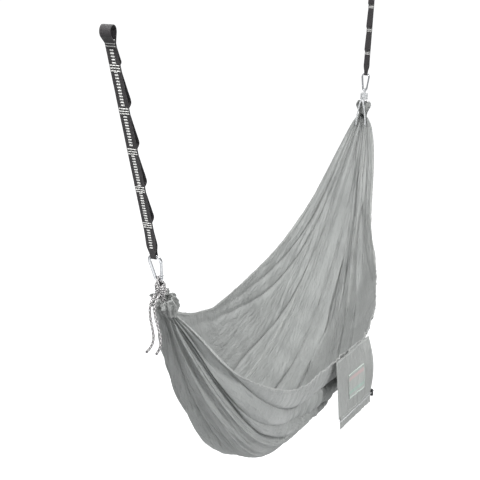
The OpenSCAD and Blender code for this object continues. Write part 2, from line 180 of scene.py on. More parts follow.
class Piece:
    """Collects surfaces and turns them into one object that rides on a body."""

    def __init__(self, name):
        self.name = name
        self.points, self.faces, self.uvs, self.slots = [], [], [], []
        self.count = 0

    def grid(self, points, uv, around=False, caps=False, slot=0, flip=False):
        """A grid of points (rows, columns, 3); around joins the last column to the first."""
        rows, columns = points.shape[:2]
        base = self.count
        ids = base + np.arange(rows * columns).reshape(rows, columns)
        if around:
            ids = np.concatenate([ids, ids[:, :1]], axis=1)
            step = uv[:, -1:] + (uv[:, 1:2] - uv[:, :1])
            uv = np.concatenate([uv, step], axis=1)
        quads = np.stack([ids[:-1, :-1], ids[1:, :-1], ids[1:, 1:], ids[:-1, 1:]], -1).reshape(-1, 4)
        corner_uv = np.stack([uv[:-1, :-1], uv[1:, :-1], uv[1:, 1:], uv[:-1, 1:]], 2).reshape(-1, 4, 2)
        if flip:
            quads, corner_uv = quads[:, ::-1], corner_uv[:, ::-1]
        self.points.append(points.reshape(-1, 3))
        self.count += rows * columns
        self.faces.extend(quads.tolist())
        self.uvs.append(corner_uv.reshape(-1, 2))
        self.slots.extend([slot] * len(quads))
        if caps:
            for row, backwards in ((ids[0], flip), (ids[-1], not flip)):
                loop = row[:-1] if around else row
                self.faces.append(loop[::-1].tolist() if backwards else loop.tolist())
                self.uvs.append(np.tile(uv[0, 0], (len(loop), 1)))
                self.slots.append(slot)

    def sweep(self, path, facing, wide, thick, sides=6, slot=0, square=1.0):
        """A tube of oval section along a path, flat faces along facing; a low square makes it boxy."""
        path = np.asarray(path, float)
        tangent = unit(np.gradient(path, axis=0))
        facing = np.broadcast_to(np.asarray(facing, float), path.shape)
        across = unit(np.cross(tangent, facing))
        out = np.cross(across, tangent)
        angle = np.arange(sides) * tau / sides

        def squared(f):
            return np.sign(f) * np.abs(f) ** square

        wide = np.broadcast_to(np.asarray(wide, float), (len(path),))
        thick = np.broadcast_to(np.asarray(thick, float), (len(path),))
        ring = (
            across[:, None] * (wide[:, None] * squared(np.cos(angle)))[..., None]
            + out[:, None] * (thick[:, None] * squared(np.sin(angle)))[..., None]
        )
        along = lengths_along(path)
        u = np.broadcast_to(squared(np.cos(angle)) * wide[:, None], ring.shape[:2])
        uv = np.stack([u, np.broadcast_to(along[:, None], u.shape)], -1)
        self.grid(path[:, None] + ring, uv, around=True, caps=True, slot=slot)

    def build(self, looks, body, nodes, solid=0.0):
        """The finished object: it rides on a body, stands for CAD nodes and fills a material slot."""
        mesh = bpy.data.meshes.new(self.name)
        mesh.from_pydata(np.concatenate(self.points), [], self.faces)
        layer = mesh.uv_layers.new(name="UVMap")
        layer.data.foreach_set("uv", np.concatenate(self.uvs).astype(np.float32).ravel())
        mesh.polygons.foreach_set("material_index", self.slots)
        mesh.polygons.foreach_set("use_smooth", [True] * len(mesh.polygons))
        for look in looks if isinstance(looks, (list, tuple)) else [looks]:
            mesh.materials.append(look)
        mesh.update()
        obj = add_object(self.name, mesh)
        if solid:
            shell = obj.modifiers.new("Cloth thickness", "SOLIDIFY")
            shell.thickness = solid
            shell.offset = 0
        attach(obj, body)
        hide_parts(*nodes)
        return obj


def stitches(piece, path, facing, length, gap, radius=0.45 * MM):
    """A row of single stitches on a path, arching off the cloth, in the piece's second material."""
    path = np.asarray(path, float)
    facing = np.broadcast_to(np.asarray(facing, float), path.shape)
    along = lengths_along(path)
    share = np.linspace(0, 1, 5)
    for start in np.arange(gap, along[-1] - length, length + gap):
        here = start + share * length
        spine = points_at(here, along, path)
        face = unit(points_at(here, along, facing))
        spine += face * (radius * (1.3 * np.sin(pi * share) - 0.5))[:, None]
        piece.sweep(spine, face, radius, radius, sides=5, slot=1)


# ------------------------ materials


class Look:
    """A procedural material round one Principled shader."""

    def __init__(self, name, roughness=0.6, metallic=0.0, sheen=0.0, specular=0.5, coords="UV"):
        self.material = bpy.data.materials.new(name)
        self.material.use_nodes = True
        self.tree = self.material.node_tree
        self.shader = self.tree.nodes["Principled BSDF"]
        self.feed("Roughness", roughness)
        self.feed("Metallic", metallic)
        self.feed("Sheen Weight", sheen)
        self.feed("Specular IOR Level", specular)
        self.place = self.tree.nodes.new("ShaderNodeTexCoord").outputs[coords]
        self.normal = None

    def feed(self, key, value, node=None):
        """Links or sets one input of a node, the shader's unless another is given."""
        socket = (node or self.shader).inputs[key]
        if hasattr(value, "node"):
            self.tree.links.new(value, socket)
        else:
            socket.default_value = value

    def node(self, kind, **inputs):
        node = self.tree.nodes.new(kind)
        for key, value in inputs.items():
            self.feed(key.replace("_", " "), value, node)
        return node

    def stretched(self, x, y, z=1.0, turn=0.0):
        node = self.node("ShaderNodeMapping", Vector=self.place, Scale=(x, y, z), Rotation=(0, 0, turn))
        return node.outputs["Vector"]

    def noise(self, vector, scale=1.0, detail=3.0, rough=0.55):
        node = self.node("ShaderNodeTexNoise", Vector=vector, Scale=scale, Detail=detail, Roughness=rough)
        return node.outputs["Fac"]

    def creases(self, vector):
        """Noise folded about its middle, which leaves sharp lines like those of crushed cloth."""
        signed = self.maths("SUBTRACT", self.noise(vector, detail=4, rough=0.6), 0.5)
        return self.maths("ABSOLUTE", signed, 0)

    def wave(self, vector, scale, along="X", distortion=0.0):
        node = self.node("ShaderNodeTexWave", Vector=vector, Scale=scale, Distortion=distortion)
        node.bands_direction = along
        return node.outputs["Fac"]

    def blend(self, factor, dark, light, low=0.3, high=0.7):
        node = self.node("ShaderNodeValToRGB", Fac=factor)
        ends = node.color_ramp.elements
        ends[0].position, ends[1].position = low, high
        ends[0].color, ends[1].color = (*dark, 1), (*light, 1)
        return node.outputs["Color"]

    def maths(self, operation, a, b):
        node = self.tree.nodes.new("ShaderNodeMath")
        node.operation = operation
        self.feed(0, a, node)
        self.feed(1, b, node)
        return node.outputs[0]

    def colour(self, socket):
        self.feed("Base Color", socket)

    def rough(self, factor, low, high):
        node = self.node("ShaderNodeMapRange", Value=factor, To_Min=low, To_Max=high)
        self.feed("Roughness", node.outputs["Result"])

    def bump(self, height, strength, distance):
        node = self.node("ShaderNodeBump", Height=height, Strength=strength, Distance=distance)
        if self.normal is not None:
            self.feed("Normal", self.normal, node)
        self.normal = node.outputs["Normal"]
        self.feed("Normal", self.normal)


# The plain weave's fineness, as the scale of its wave texture
WEAVE = 550


def nylon(name, dark, light, crinkle=0.8):
    """Thin crinkled parachute nylon: cloudy tone, long creases, a fine plain weave and a soft sheen."""
    look = Look(name, sheen=0.25, specular=0.35)
    clouds = look.noise(look.place, scale=7, detail=4)
    look.colour(look.blend(clouds, dark, light))
    look.rough(clouds, 0.52, 0.68)
    look.bump(look.creases(look.stretched(5, 34)), crinkle, 24 * MM)
    look.bump(look.creases(look.stretched(24, 60, turn=0.35)), 0.8 * crinkle, 9 * MM)
    look.bump(look.creases(look.stretched(60, 25, turn=-0.5)), 0.6 * crinkle, 6 * MM)
    warp = look.wave(look.place, WEAVE, "X")
    weft = look.wave(look.place, WEAVE, "Y")
    look.bump(look.maths("MULTIPLY", warp, weft), 0.15, 0.2 * MM)
    return look.material


def fibre(name, dark, light, roughness=0.75, scale=900):
    """Twisted thread or yarn: streaks along the strand and a soft, dull surface."""
    look = Look(name, roughness=roughness, sheen=0.2, specular=0.3)
    look.colour(look.blend(look.noise(look.stretched(1.0, 0.15), scale=scale, detail=2), dark, light))
    look.bump(look.wave(look.stretched(1, 1, turn=0.7), scale, "X"), 0.4, 0.15 * MM)
    return look.material


def webbing(name, dark, light):
    """Flat woven strapping: chevron ribs across its width, coloured lighter on the rib crowns and darker in
    the grooves.
    """
    look = Look(name, roughness=0.7, sheen=0.3, specular=0.3)
    chevron = look.wave(look.stretched(1, 1, turn=0.9), 260, "X", 0.4)
    ribs = look.wave(look.place, 330, "Y", 0.3)
    pattern = look.maths("MULTIPLY", chevron, ribs)
    # The colour follows the rib pattern: lighter on the crowns, darker in the grooves
    look.colour(look.blend(pattern, dark, light, 0.0, 1.0))
    look.bump(pattern, 0.7, 0.5 * MM)
    return look.material


def polished_steel(name):
    """Bright plated steel with faint draw marks and smudges."""
    look = Look(name, metallic=1.0, coords="Object")
    smudge = look.noise(look.place, scale=60, detail=4)
    look.colour(look.blend(smudge, (0.62, 0.63, 0.65), (0.86, 0.87, 0.89)))
    look.rough(smudge, 0.10, 0.26)
    look.bump(look.noise(look.stretched(900, 900, 60), detail=2), 0.08, 0.1 * MM)
    return look.material


def moulded_plastic(name):
    """Black moulded plastic with a fine spark-eroded grain."""
    look = Look(name, specular=0.45, coords="Object")
    grain = look.noise(look.place, scale=1800, detail=2)
    look.colour(look.blend(grain, (0.012, 0.012, 0.014), (0.03, 0.03, 0.033)))
    look.rough(grain, 0.38, 0.55)
    look.bump(grain, 0.25, 0.1 * MM)
    return look.material


# The patch, from the middle of the pouch's top edge, and each band as a share of its height
PATCH_X, PATCH_LOW, PATCH_HIGH = 10 * MM, -177.3 * MM, -85.3 * MM
PATCH_HALF_W, PATCH_HALF_H = 52 * MM, (PATCH_HIGH - PATCH_LOW) / 2
BAND = 0.14


def patch_weave(name):
    """The pouch's plain woven patch: grey ribbed cloth crossed by a rose band and a green band."""
    look = Look(name, roughness=0.8, sheen=0.3, specular=0.25)
    up = look.node("ShaderNodeSeparateXYZ", Vector=look.place).outputs["Y"]
    share = look.node("ShaderNodeMapRange", Value=up, From_Min=PATCH_LOW, From_Max=PATCH_HIGH)
    ramp = look.node("ShaderNodeValToRGB", Fac=share.outputs["Result"])
    ramp.color_ramp.interpolation = "CONSTANT"
    ground = (0.37, 0.385, 0.37, 1)
    green = (0.32, 0.42, 0.375, 1)
    rose = (0.48, 0.375, 0.37, 1)
    stops = ramp.color_ramp.elements
    stops[0].color = ground
    stops[1].position = 1 - BAND
    stops[1].color = ground
    for position, colour in ((BAND, green), (2 * BAND, ground), (1 - 2 * BAND, rose)):
        stops.new(position).color = colour
    look.colour(ramp.outputs["Color"])
    look.bump(look.wave(look.place, 420, "Y"), 0.5, 0.3 * MM)
    return look.material


CLOTH = nylon("sling nylon", (0.265, 0.274, 0.268), (0.345, 0.356, 0.348))
HEM = nylon("hem nylon", (0.30, 0.309, 0.30), (0.39, 0.40, 0.388), 1.0)
# The end channels' nylon: the sling's cloth painted darker, as painted shade on the bunched cloth
SHADED_GATHER_NYLON = nylon("gather nylon", (0.19, 0.196, 0.19), (0.27, 0.278, 0.27), 1.0)
POUCH_CLOTH = nylon("pouch nylon", (0.275, 0.284, 0.275), (0.355, 0.365, 0.355), 1.0)
SEAM_THREAD = fibre("seam thread", (0.40, 0.42, 0.41), (0.62, 0.64, 0.63))
WHITE_THREAD = fibre("white thread", (0.62, 0.62, 0.60), (0.86, 0.86, 0.84))
CORD_WHITE = fibre("cord white yarn", (0.55, 0.54, 0.53), (0.82, 0.81, 0.80))
CORD_BLACK = fibre("cord black yarn", (0.02, 0.018, 0.022), (0.07, 0.06, 0.07))
CORD_GREY = fibre("cord grey yarn", (0.30, 0.31, 0.32), (0.50, 0.51, 0.52))
CORD_PALE = fibre("cord pale yarn", (0.50, 0.51, 0.51), (0.72, 0.73, 0.73))
STRAP = webbing("black webbing", (0.010, 0.009, 0.010), (0.055, 0.048, 0.052))
STEEL = polished_steel("polished steel")
PLASTIC = moulded_plastic("black plastic")
PATCH = patch_weave("woven patch")
BORDER_THREAD = fibre("border thread", (0.56, 0.64, 0.59), (0.76, 0.84, 0.79))


# ------------------------ the sling's hanging shape

# Half widths: of the front and the back at midspan, and of the bundle at each pinch
FRONT_HALF, BACK_HALF, BUNDLE_HALF = 272 * MM, 286 * MM, 15 * MM

# How far the rims and the keel hang below the line from pinch to pinch
RIM_DROP, KEEL_DROP, KEEL_AT_PINCH = 556 * MM, 912 * MM, 22 * MM

# Fullness of the cloth beside the pinches
SHOULDER, FAR_SHOULDER = 60 * MM, 110 * MM

# The back rim's low swell: height as a share of the rim's drop, place and length in s
BACK_LIFT, BACK_LIFT_AT, BACK_LIFT_LENGTH = 0.045, -0.04, 0.16

# The seams' places across the cloth, and the radius of the bunched cloth inside a channel
SEAM_AT = 0.56
BUNDLE_R = 13.5 * MM


def draw_in(s, front):
    """The share by which the cloth is pulled in from its plain width."""
    a = np.abs(s)
    wave = np.sin(pi * np.minimum(a, 1))
    near_front = 0.385 * wave * (1 - a) * a * a / (a * a + 0.003)
    far_front = 0.10 * wave * wave + 0.20 * np.exp(-(((a - 0.78) / 0.20) ** 2))
    return np.where(
        front,
        np.where(s < 0, near_front, far_front),
        np.where(s < 0, 0.12 * wave * wave, 0.0),
    )


def half_width(s, front):
    """From the keel's line to the front or the back rim."""
    a = np.abs(s)
    opened = np.where(front, FRONT_HALF, BACK_HALF) * (1 - a**2.4)
    bulge = np.where((s >= 0) & front, FAR_SHOULDER * a**12, SHOULDER * a**4)
    shoulder = np.where((s < 0) & ~front, 0, bulge * np.sqrt(np.clip(1 - a * a, 0, 1)))
    return BUNDLE_HALF + (opened + shoulder) * (1 - draw_in(s, front))


def taut(a, k=0.05):
    """A rim's rise where it is pulled almost straight, rounded off over the span k."""
    return (np.sqrt(a * a + k * k) - k) / (sqrt(1 + k * k) - k)


def hanging_point(s, v):
    """The plain hanging surface: s from -1 (head) to 1 (foot), v from -1 (front) to 1 (back)."""
    a, front = np.abs(s), v < 0
    rise = np.where(s >= 0, a**4, np.where(front, a**3, taut(a)))
    lift = BACK_LIFT * np.exp(-(((s - BACK_LIFT_AT) / BACK_LIFT_LENGTH) ** 2))
    rise = rise + np.where(front, 0, lift)
    rim = RIM_DROP * (1 - rise)
    keel = KEEL_AT_PINCH + KEEL_DROP * (1 - a ** np.where(s < 0, 2.7, 2.6))
    drop = rim + (keel - rim) * (1 - np.abs(v) ** 2.3)
    chord = lerp(HEAD.pinch, FOOT.pinch, ((s + 1) / 2)[..., None])
    zero = np.zeros_like(drop)
    return chord + np.stack([zero, half_width(s, front) * v, -drop], -1)


def bundle_point(s, v):
    """The same cloth where it is bunched into a ring inside the end channel."""
    angle = pi - 0.96 * pi * v
    rise = -PINCH_DROP + (np.abs(s) - 1.0) * 400 * MM
    local = turned(BUNDLE_R, angle, rise)
    return np.where((s < 0)[..., None], HEAD.place(local), FOOT.place(local))


def base_point(s, v):
    """The unfolded cloth, hanging and then bunched."""
    gathered = smooth(0.972, 1.012, np.abs(s))[..., None]
    return lerp(hanging_point(np.clip(s, -1, 1), v), bundle_point(s, v), gathered)


# ------------------------ the sling's folds


# Places along the sling, in s, at which each fold's line and depth are given
STATIONS = np.array([-0.95, -0.70, -0.45, -0.20, 0.10, 0.50, 0.90])


def along_stations(values, s):
    """Smooth curve through a value at each station along the sling."""
    values = np.asarray(values, float)
    slopes = np.gradient(values, STATIONS)
    here = np.clip(s, STATIONS[0], STATIONS[-1])
    i = np.clip(np.searchsorted(STATIONS, here, side="right") - 1, 0, len(STATIONS) - 2)
    gap = STATIONS[i + 1] - STATIONS[i]
    t = (here - STATIONS[i]) / gap
    start, end = values[i], values[i + 1]
    ease = t * t * (3 - 2 * t)
    bend = gap * (slopes[i] * t * (1 - t) ** 2 - slopes[i + 1] * t * t * (1 - t))
    return start + (end - start) * ease + bend


class Fold:
    """A crease along the sling: where it lies across the cloth and how deep, station by station.

    Depth is in millimetres and positive inwards, half is half its width in millimetres, and lip is how far
    the cloth above hangs over it, as a share of its depth."""

    def __init__(self, at, depth, half, lip=0.0):
        self.at = at
        self.depth = depth
        self.half = half * MM
        self.lip = lip

    def line(self, s):
        return along_stations(self.at, s)

    def size(self, s):
        return along_stations(self.depth, s) * MM * (1 - 0.8 * smooth(0.86, 1.0, np.abs(s)))


FOLDS = {
    "valley below the front rim": Fold(
        at=(-0.97, -0.925, -0.9, -0.87, -0.8, -0.72, -0.62),
        depth=(8, 30, 44, 46, 36, 20, 8), half=15, lip=1.1),
    "main valley of the front wall": Fold(
        at=(-0.8, -0.77, -0.8, -0.74, -0.62, -0.52, -0.44),
        depth=(20, 38, 52, 56, 38, 18, 10), half=20, lip=1.2),
    "lower valley of the front wall": Fold(
        at=(-0.7, -0.645, -0.62, -0.56, -0.44, -0.3, -0.24),
        depth=(16, 14, 18, 26, 16, 8, 8), half=18, lip=0.8),
    "swelling of the front wall": Fold(
        at=(-0.36, -0.36, -0.34, -0.3, -0.2, -0.27, -0.32),
        depth=(-16, -12, -6, 0, 0, -6, -12), half=44),
    "hollow beside the head pinch": Fold(
        at=(-0.02, 0.04, -0.05, -0.2, -0.2, -0.15, -0.12),
        depth=(52, 20, 0, 0, 0, -6, -14), half=40, lip=0.4),
    "trough along the keel": Fold(
        at=(0.38, 0.22, 0.1, 0.05, 0, -0.1, -0.02),
        depth=(-22, -12, 0, 0, 0, -14, -40), half=24, lip=0.5),
    "upper crease of the keel's front": Fold(
        at=(-0.3, -0.3, -0.3, -0.2, 0.02, -0.03, -0.3),
        depth=(0, 0, 0, 0, -8, -15, -8), half=9, lip=0.7),
    "lower crease of the keel's front": Fold(
        at=(-0.4, -0.4, -0.4, -0.3, -0.24, -0.29, -0.45),
        depth=(0, 0, 0, 0, -4, -11, -6), half=8, lip=0.6),
    "far crease of the front wall": Fold(
        at=(-0.62, -0.62, -0.62, -0.7, -0.96, -0.91, -0.62),
        depth=(0, 0, 0, 0, 0, -8, -12), half=12, lip=0.4),
    "broad fold of the back wall": Fold(
        at=(0.52, 0.5, 0.4, 0.34, 0.3, 0.25, 0.23),
        depth=(10, 0, 0, -8, -20, -36, -34), half=22, lip=1.0),
    "crease beside the back seam": Fold(
        at=(0.62, 0.64, 0.66, 0.66, 0.68, 0.6, 0.52),
        depth=(3, -2, -5, -9, -12, -12, -10), half=10, lip=0.9),
    "crease below the back rim": Fold(
        at=(0.86, 0.93, 0.95, 0.96, 0.93, 0.81, 0.68),
        depth=(3, -2, -4, -6, -9, -10, -10), half=10, lip=0.8),
    "crease along the back hem": Fold(
        at=(0.97, 0.98, 0.98, 0.98, 0.97, 0.91, 0.8),
        depth=(2, 0, 0, -2, -5, -7, -8), half=9, lip=0.8),
}

# Pleats across the whole width that run into each pinch
PLEATS = 12


def across_scale(s, v, e=1e-3):
    """How many metres of cloth a unit of v spans here, and the direction of increasing v."""
    step = base_point(s, v + e) - base_point(s, v - e)
    return np.linalg.norm(step, axis=-1) / (2 * e), unit(step)


def base_normal(s, v, across, e=1e-3):
    """Outward normal of the unfolded cloth."""
    along = base_point(s + e, v) - base_point(s - e, v)
    return unit(np.cross(across, along))


def fold_offsets(s, v, scale):
    """Outward and keelward shift of the cloth from the named folds."""
    keelward = np.where(v < 0, 1.0, -1.0)
    out, down = np.zeros_like(s), np.zeros_like(s)
    size = (scale / across_at_middle) ** 0.6
    for fold in FOLDS.values():
        depth = fold.size(s)
        u = (v - fold.line(s)) * scale / (fold.half * size)
        out -= depth * np.exp(-u * u)
        down += fold.lip * np.abs(depth) * np.exp(-((u * keelward + 0.9) ** 2))
    return out, down * keelward


def pleat_offsets(s, v):
    """Deep pleats that close up towards each pinch."""
    a = np.abs(s)
    warp = 0.05 * np.sin(5 * v + 2 * np.sign(s)) + 0.02 * np.sin(17 * v)
    phase = PLEATS * pi * (v + warp)
    start = np.where(s < 0, np.where(v < 0.2, 0.66, 0.40), np.where(v < 0, 0.70, 0.55))
    height = 10 * MM * smooth(0, 1, (a - start) / (0.92 - start)) * (1 - 0.75 * smooth(0.92, 1.0, a))
    height = height * (1 + 0.5 * noise(3 * v, 2 * np.sign(s), 5))
    return height * np.cos(phase), -0.5 * height * np.sin(phase)


def wrinkles(s, v):
    """Long fine creases that fan out from the pinches, and short crinkles across them."""
    a = np.abs(s)
    fan = ridges(3.1 * s, 26 * v + 0.6 * noise(6 * s, 6 * v, 1), 2) * (1.3 + 3.2 * a**2)
    fine = ridges(9 * s, 70 * v, 3) * (0.6 + 1.1 * a)
    gathers = ridges(75 * s, 7 * v, 4) * smooth(-0.55, -0.3, s) * smooth(0.25, -0.05, s)
    gathers = gathers * smooth(-0.90, -0.80, v) * smooth(-0.40, -0.62, v) * 12
    edge = smooth(0.86, 0.95, np.abs(v)) * (1 - smooth(0.75, 0.95, a))
    loose = 1.2 + 1.6 * smooth(-0.6, -0.3, s) * smooth(0.35, 0.1, s) * (v < 0)
    puckers = (noise(95 * s, 12 * v, 11) + ridges(48 * s + 6 * v, 6 * v, 12)) * edge * loose
    return (fan + fine + gathers + puckers) * MM * (1 - 0.8 * smooth(0.95, 1.0, a))


def swell(s, v):
    """Broad soft waves of cloth that carries no load."""
    loose = smooth(0.0, 0.35, 1 - np.abs(s))
    return 5 * MM * loose * noise(2.2 * s + 0.3, 3.1 * v, 6)


across_at_middle = float(across_scale(np.array([0.0]), np.array([0.5]))[0][0])


def cloth_point(s, v):
    """A point of the finished cloth, with its folds, pleats, wrinkles and swell."""
    s, v = np.broadcast_arrays(np.asarray(s, float), np.asarray(v, float))
    scale, across = across_scale(s, v)
    normal = base_normal(s, v, across)
    fold_out, fold_across = fold_offsets(s, v, scale)
    pleat_out, pleat_across = pleat_offsets(s, v)
    out = fold_out + pleat_out + wrinkles(s, v) + swell(s, v)
    sideways = fold_across + pleat_across
    return base_point(s, v) + normal * out[..., None] + across * sideways[..., None]


def cloth_frame(s, v, e=2e-3):
    """Points of the folded cloth and its outward normals."""
    across = cloth_point(s, v + e) - cloth_point(s, v - e)
    along = cloth_point(s + e, v) - cloth_point(s - e, v)
    return cloth_point(s, v), unit(np.cross(across, along))


# The cloth runs a little past each pinch, inside the channel
CLOTH_END = 1.02
CLOTH_T = 0.9 * MM

# Metres of texture to a unit of s and to a unit of v
CLOTH_UV = (1.3, 0.55)


def cloth_uv(s, v):
    return np.stack(np.broadcast_arrays(s * CLOTH_UV[0], v * CLOTH_UV[1]), -1)


def panel(name, node, v0, v1, rows, columns):
    s, v = rows_by_columns(np.linspace(-CLOTH_END, CLOTH_END, rows), np.linspace(v0, v1, columns))
    piece = Piece(name)
    piece.grid(cloth_point(s, v), cloth_uv(s, v))
    return piece.build(CLOTH, "sling", [node], solid=CLOTH_T)


def seam(name, node, v_mid):
    """A felled seam: a doubled strip with two rows of stitching."""
    s = np.linspace(-0.985, 0.985, 420)[:, None]
    v = v_mid + np.linspace(-0.013, 0.013, 7)[None, :]
    points, normals = cloth_frame(s, v)
    crown = (0.6 * MM + 0.9 * MM * np.sqrt(np.clip(1 - np.linspace(-1, 1, 7) ** 2, 0, 1)))[None, :, None]
    uv = cloth_uv(s, v)
    piece = Piece(name)
    ring = np.concatenate([points + normals * crown, (points - normals * crown)[:, ::-1]], 1)
    piece.grid(ring, np.concatenate([uv, uv[:, ::-1]], 1), around=True, caps=True)
    for face in (-1, 1):
        for dv in (-0.007, 0.007):
            line, out = cloth_frame(s[:, 0], np.full(len(s), v_mid + dv))
            stitches(piece, line + face * out * 1.5 * MM, face * out, 7 * MM, 4 * MM)
    return piece.build([HEM, SEAM_THREAD], "sling", [node])


def rim_hem(name, node, side):
    """The rolled rim hem, puckered by its stitching."""
    s = np.linspace(-1.0, 1.0, 900)
    rim = cloth_point(s, np.full(s.shape, side * 0.998))
    inner, out = cloth_frame(s, np.full(s.shape, side * 0.975))
    inward = unit(inner - rim)
    pucker = 1 + 0.10 * np.sin(s * 620) + 0.12 * noise(s * 40, 0 * s, 8)
    fade = 1 - 0.6 * smooth(0.9, 1.0, np.abs(s))
    piece = Piece(name)
    piece.sweep(rim + inward * 3 * MM, out, 5.5 * MM * fade * pucker, 2.0 * MM * pucker, sides=12)
    for face in (-1, 1):
        line = rim + inward * 6 * MM + face * out * 1.8 * MM
        stitches(piece, line, face * out, 6 * MM, 4 * MM)
    return piece.build([HEM, SEAM_THREAD], "sling", [node])


def make_sling():
    panel("front_side_cloth", "front_side_panel", -1.0, -SEAM_AT, 640, 64)
    panel("centre_cloth", "centre_panel", -SEAM_AT, SEAM_AT, 400, 118)
    panel("back_side_cloth", "back_side_panel", SEAM_AT, 1.0, 560, 56)
    seam("front_seam", "front_panel_seam", -SEAM_AT)
    seam("back_seam", "back_panel_seam", SEAM_AT)
    rim_hem("front_hem", "front_rim_hem", -1)
    rim_hem("back_hem", "back_rim_hem", 1)


# ------------------------ the bunched end channels

CHANNEL_TOP = -56 * MM
RUFFLES = 11


def ruffle(h, angle, seed, skirt):
    """Radius of the bunched channel at a height share h: it flares, then tucks in round the cord."""
    flare = lerp(15.0 + 12 * skirt, 26.0 + 5 * skirt, np.sin(pi / 2 * np.minimum(1, 1.5 * h)) ** 2)
    tuck = lerp(flare, 7.5, smooth(0.8, 1.5, h))
    wave = np.sin(RUFFLES * angle + 1.3 * h + seed) + 0.45 * np.sin(17 * angle + 3 * h + seed)
    crumple = noise(4 * angle, 6 * h, seed) + 0.8 * ridges(7 * angle, 9 * h, seed + 1)
    depth = (1.6 + 3.6 * np.minimum(h, 1)) * (1 - 0.6 * smooth(1.1, 1.5, h))
    return (tuck + depth * wave + 3.2 * np.minimum(0.3 + h, 1) * crumple) * MM


def make_channel(end):
    """The channel's bunched cloth, fuller and lower on the side where it drapes over the front rim."""
    piece = Piece(end.name + "_end_gather")
    seed = 3.7 if end is FOOT else 0.0
    drape = 1.0 if end is HEAD else 0.35
    angle = np.linspace(0, tau, 360, endpoint=False)[None, :]
    h = np.linspace(0, 1.5, 64)[:, None]
    skirt = drape * (0.5 + 0.5 * np.cos(angle + radians(60))) ** 2
    r = ruffle(h, angle, seed, skirt)
    twist = angle + 0.14 * np.cos(RUFFLES * angle + 2 + seed) * np.minimum(h, 1)
    lip = np.minimum(h, 1) - 0.75 * np.maximum(h - 1, 0)
    wobble = 3.5 * MM * lip * np.sin(5 * angle + seed) + 2.5 * MM * lip * np.sin(13 * angle)
    sag = 20 * MM * skirt * (1 - 0.6 * lip)
    z = lerp(-PINCH_DROP, CHANNEL_TOP - 4 * MM, lip) + wobble - sag
    points = end.place(turned(r, twist, z))
    uv = np.stack(np.broadcast_arrays(h * 0.06, angle * 0.025), -1)
    piece.grid(points, uv, around=True, flip=end.facing > 0)
    channel = end.name + "_end_channel"
    # Its darker nylon is painted shade on the bunched cloth
    return piece.build(SHADED_GATHER_NYLON, "sling", [channel], solid=CLOTH_T)


# ------------------------ cords and knots

CORD_R = 3.25 * MM

# The carabiner's narrow bow and its bar, and the loop that clears them
SMALL_BOW, BAR_R = 8.5 * MM, 4 * MM
LOOP_R = BAR_R + CORD_R + 0.7 * MM
KNOT_TOP = -SMALL_BOW - BAR_R - 4 * MM
KNOT_BOTTOM = KNOT_TOP - 36 * MM
LEG_X = 4.2 * MM


def evenly(path, step):
    """The same path with points a fixed step apart."""
    path = np.asarray(path, float)
    along = lengths_along(path)
    here = np.linspace(0, along[-1], max(int(along[-1] / step), 4))
    return points_at(here, along, path)


def carried_frame(path):
    """Directions across a path that turn with it without twisting."""
    tangent = unit(np.gradient(path, axis=0))
    across = np.empty_like(path)
    first = np.cross(tangent[0], [0.3, 0.8, 0.5])
    across[0] = first / np.linalg.norm(first)
    for i in range(1, len(path)):
        side = across[i - 1] - tangent[i] * (across[i - 1] @ tangent[i])
        across[i] = side / np.linalg.norm(side)
    return across, np.cross(tangent, across)


# The braid stands a little proud of the cord's plain radius
FULLNESS = 1.12


def braid(piece, path, radius=CORD_R):
    """A braided cord: four strands each way, passing over and under each other."""
    share = radius / CORD_R
    path = evenly(path, 0.9 * MM * max(share, 0.6))
    radius = radius * FULLNESS
    length = np.arange(len(path)) * np.linalg.norm(path[1] - path[0])
    e1, e2 = carried_frame(path)
    pitch = 23 * MM * share
    for slot, way in enumerate((-1, 1)):
        for k in range(4):
            angle = way * tau * length / pitch + k * pi / 2
            over = way * np.cos(8 * pi * length / pitch + k * pi)
            out = e1 * np.cos(angle)[:, None] + e2 * np.sin(angle)[:, None]
            spine = path + out * (radius * (0.68 + 0.10 * over))[:, None]
            piece.sweep(spine, out, 0.40 * radius, 0.20 * radius, sides=6, slot=slot)
    piece.sweep(path, e1, 0.55 * radius, 0.55 * radius, sides=8, slot=1)


def arc(radius, z, start, stop, count=24):
    """Points of an arc in the plane of a cord's loop."""
    angle = np.linspace(start, stop, count)
    return np.stack([radius * np.cos(angle), 0 * angle, z + radius * np.sin(angle)], -1)


def gather_cord_path():
    """The cord's closed loop: over the carabiner, through the knot and round inside the channel."""
    turn_z = -PINCH_DROP + 8 * MM
    z = np.linspace(KNOT_TOP - 3 * MM, KNOT_BOTTOM + 3 * MM, 20)
    x = lerp(LOOP_R, LEG_X, smooth(0, 1, np.linspace(0, 1, 20)))
    right = np.stack([x, 0 * x, z], -1)
    left = np.stack([-x, 0 * x, z], -1)[::-1]
    bottom = arc(LEG_X, turn_z, 0, -pi)
    top = arc(LOOP_R, -SMALL_BOW, pi, 0)
    return np.concatenate([top, right, bottom, left, top[:1]])


def knot_path(girth):
    """Five snug wraps round the two cords, with both ends tucked under."""
    t = np.linspace(0, 1, 420)
    tucked = smooth(0, 0.04, t) * smooth(1, 0.96, t)
    r = lerp(7.0 * MM, girth, tucked) + 0.5 * MM * np.sin(19 * t)
    angle = tau * 5 * t
    z = lerp(KNOT_BOTTOM + 4 * MM, KNOT_TOP - 4 * MM, t) + 1.6 * MM * np.sin(angle + 0.6)
    return turned(r, angle, z)


